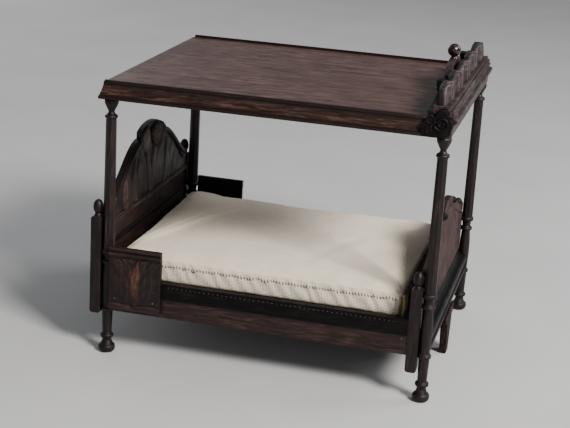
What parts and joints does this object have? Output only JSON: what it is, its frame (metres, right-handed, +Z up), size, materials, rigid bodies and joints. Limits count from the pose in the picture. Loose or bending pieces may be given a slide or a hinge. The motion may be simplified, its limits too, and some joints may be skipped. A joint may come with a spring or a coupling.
{
  "type": "miniature four poster bed",
  "caption": "Dolls' house four poster bed with turned and eight-sided posts, carved headboard, arched footboard, flat tester with crest, and a lift-out canvas mattress.",
  "frame": {"origin": "centre of the bounding box at the floor, under the four feet", "axes": "+X to the foot end, +Y to the rear side, +Z up"},
  "size_m": [0.1976, 0.1644, 0.1832],
  "materials": {
    "dark_wood": "satin",
    "red_wood": "satin",
    "black_wood": "satin",
    "canvas": "matt",
    "steel": "satin"
  },
  "bodies": {
    "bedstead": {"head_post_front": "dark_wood", "head_post_rear": "dark_wood", "foot_post_front": "dark_wood", "foot_post_rear": "dark_wood", "head_stile_front": "dark_wood", "head_stile_rear": "dark_wood", "foot_stile_front": "dark_wood", "foot_stile_rear": "dark_wood", "headboard_panel": "dark_wood", "headboard_shell": "dark_wood", "headboard_scroll_front": "dark_wood", "headboard_scroll_rear": "dark_wood", "headboard_lower_panel": "dark_wood", "wing_top_front": "dark_wood", "wing_top_rear": "dark_wood", "wing_bottom_front": "dark_wood", "wing_bottom_rear": "dark_wood", "crest_leaf_1": "dark_wood", "crest_leaf_2": "dark_wood", "crest_leaf_3": "dark_wood", "crest_leaf_4": "dark_wood", "crest_leaf_5": "dark_wood", "crest_back": "dark_wood", "crest_plinth": "dark_wood", "crest_ball": "dark_wood", "headboard_lower_moulding": "black_wood", "footboard_knob_front": "black_wood", "footboard_knob_rear": "black_wood", "footboard_rail": "black_wood", "rail_strip_front": "black_wood", "rail_strip_rear": "black_wood", "corner_block_front": "black_wood", "corner_block_rear": "black_wood", "crest_knob_front": "black_wood", "crest_knob_rear": "black_wood", "headboard_rail": "red_wood", "footboard_panel": "red_wood", "foot_centre_leg": "red_wood", "rail_board_front": "red_wood", "rail_board_rear": "red_wood", "wing_panel_front": "red_wood", "wing_panel_rear": "red_wood", "tester_board": "red_wood", "cornice_front": "red_wood", "cornice_rear": "red_wood", "cornice_foot": "red_wood", "crest_base": "red_wood", "base_board": "red_wood", "rail_pins": "steel", "wing_nails": "steel"},
    "mattress": {"mattress": "canvas"}
  },
  "joints": [
    {"name": "mattress_lift", "type": "slide", "parent": "bedstead", "child": "mattress", "axis": [0, 0, 1], "range_m": [0, 0.03]}
  ]
}
